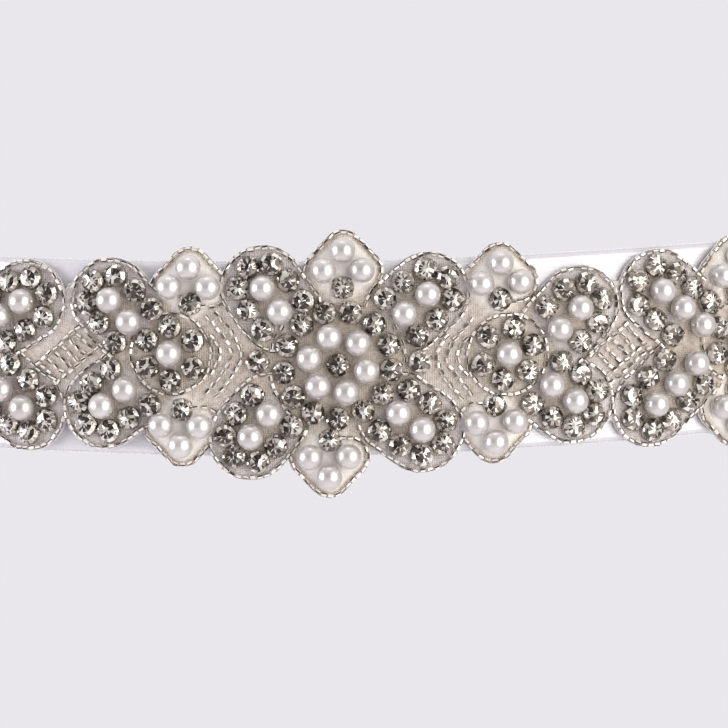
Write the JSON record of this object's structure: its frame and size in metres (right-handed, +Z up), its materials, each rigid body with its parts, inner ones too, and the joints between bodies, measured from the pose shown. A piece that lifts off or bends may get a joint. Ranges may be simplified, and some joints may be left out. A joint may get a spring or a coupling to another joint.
{
  "type": "worn bridal sash",
  "caption": "White satin ribbon sash, closed in a loop as worn at the waist, with a scalloped pearl and rhinestone applique sewn across its front.",
  "frame": {"origin": "middle of the waist opening, at the height of the ribbon's mid-line at the centre front; the waist mount", "axes": "+Z up as worn, +X towards the sash's right seen from the front (the wearer's left), the beaded front faces -Y"},
  "size_m": [0.258, 0.1948, 0.0633],
  "materials": {
    "ribbon_satin": "white double-faced polyester satin with a soft sheen",
    "beaded_applique": "beige net and felt closely sewn with ivory pearls, clear rhinestones and silver-lined cut beads"
  },
  "bodies": {
    "root": {"ribbon": "ribbon_satin", "applique": "beaded_applique"}
  },
  "joints": []
}
